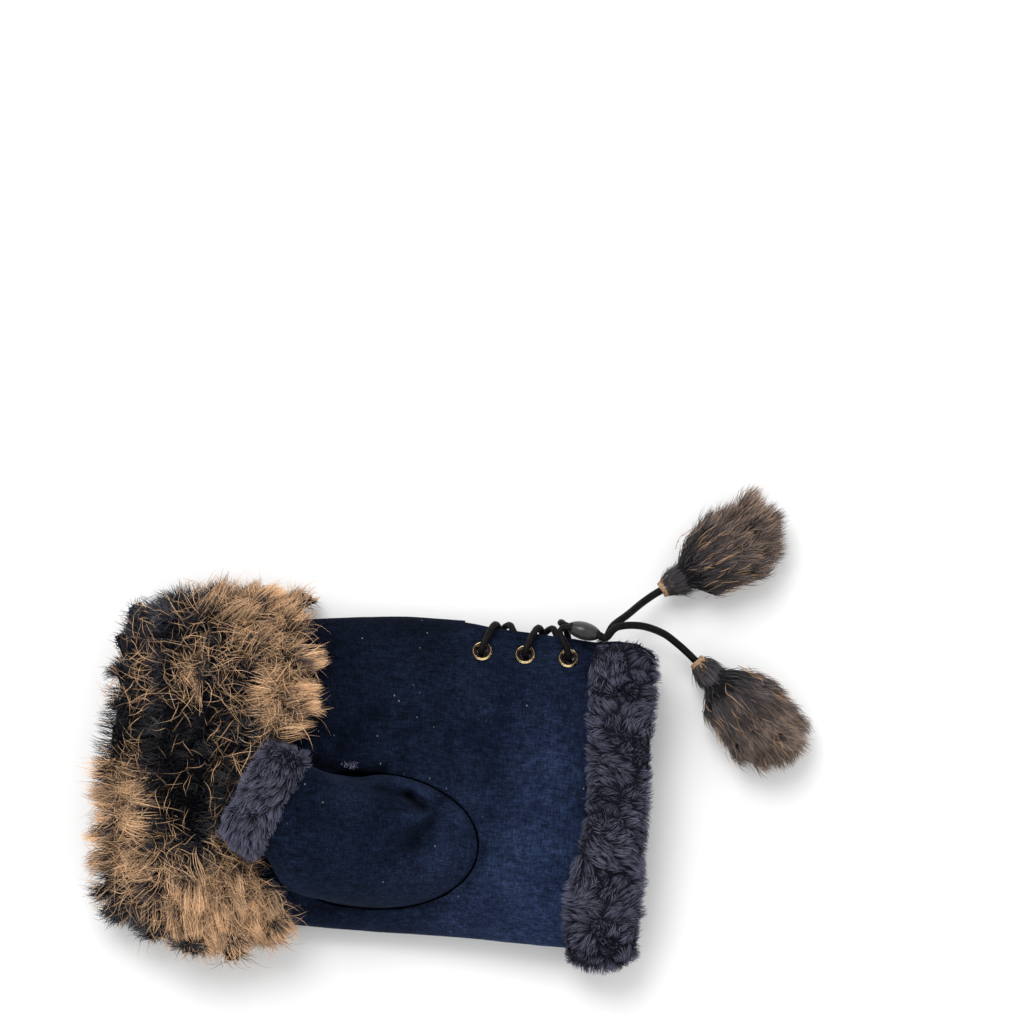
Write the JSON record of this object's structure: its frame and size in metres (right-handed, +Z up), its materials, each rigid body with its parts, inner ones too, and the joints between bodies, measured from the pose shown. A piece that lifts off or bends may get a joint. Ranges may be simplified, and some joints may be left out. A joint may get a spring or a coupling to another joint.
{
  "type": "suede fingerless glove",
  "caption": "Navy suede fingerless glove lying palm up, with a fur cuff, a plush-edged thumb and wrist, and a laced side slit whose cord ends in two fur pompoms.",
  "frame": {"origin": "on the flat of the glove's underside, below the middle of the palm, where the glove rests", "axes": "+X from the fingers to the wrist, +Y from the thumb's edge to the laced edge, +Z up out of the palm"},
  "size_m": [0.261, 0.1877, 0.0512],
  "materials": {
    "navy_suede": "napped suede, matt",
    "grey_plush": "short plush pile",
    "cuff_fur": "long fur, dark underfur with tan guard hairs",
    "pompom_fur": "long fur, grey-brown",
    "aged_brass": "aged, satin",
    "waxed_cord": "waxed round cord",
    "grey_bead": "satin",
    "tan_skin": "raw, rolled"
  },
  "bodies": {
    "root": {"suede_shell": "navy_suede", "thumb_stall": "navy_suede", "thumb_plush": "grey_plush", "wrist_plush": "grey_plush", "fur_cuff": "cuff_fur", "eyelet_palm_1": "aged_brass", "eyelet_palm_2": "aged_brass", "eyelet_palm_3": "aged_brass", "eyelet_back_1": "aged_brass", "eyelet_back_2": "aged_brass", "eyelet_back_3": "aged_brass", "lace": "waxed_cord", "bead": "grey_bead", "strand_a": "waxed_cord", "strand_b": "waxed_cord", "skin_a": "tan_skin", "skin_b": "tan_skin", "pompom_a": "pompom_fur", "pompom_b": "pompom_fur"}
  },
  "joints": []
}
